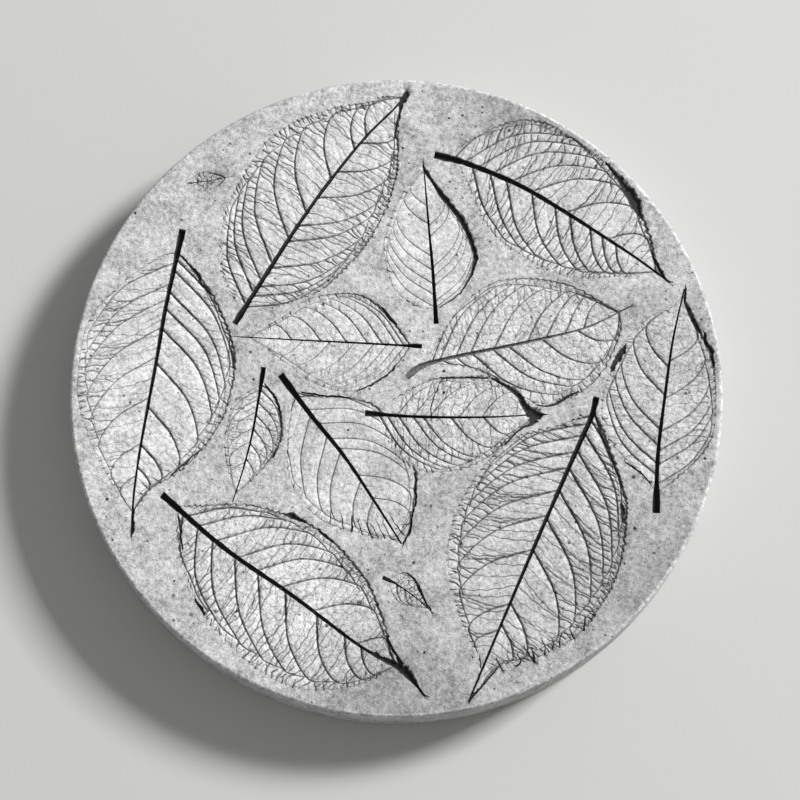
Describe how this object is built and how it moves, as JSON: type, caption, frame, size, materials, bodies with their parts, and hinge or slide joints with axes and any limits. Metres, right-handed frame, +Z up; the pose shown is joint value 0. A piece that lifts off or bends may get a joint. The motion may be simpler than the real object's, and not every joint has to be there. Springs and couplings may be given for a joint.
{
  "type": "garden stepping stone",
  "caption": "Round flat stepping stone of cast concrete, its tread face covered with pressed prints of serrate leaves, to lay in a garden path.",
  "frame": {"origin": "centre of the flat underside, on the ground that the stone lies on", "axes": "+Z up through the tread face, +Y towards the far edge in the picture, +X to its right"},
  "size_m": [0.402, 0.402, 0.04],
  "materials": {
    "cast_concrete": "matte cast concrete, weathered light grey"
  },
  "bodies": {
    "root": {"stepping_stone": "cast_concrete"}
  },
  "joints": []
}
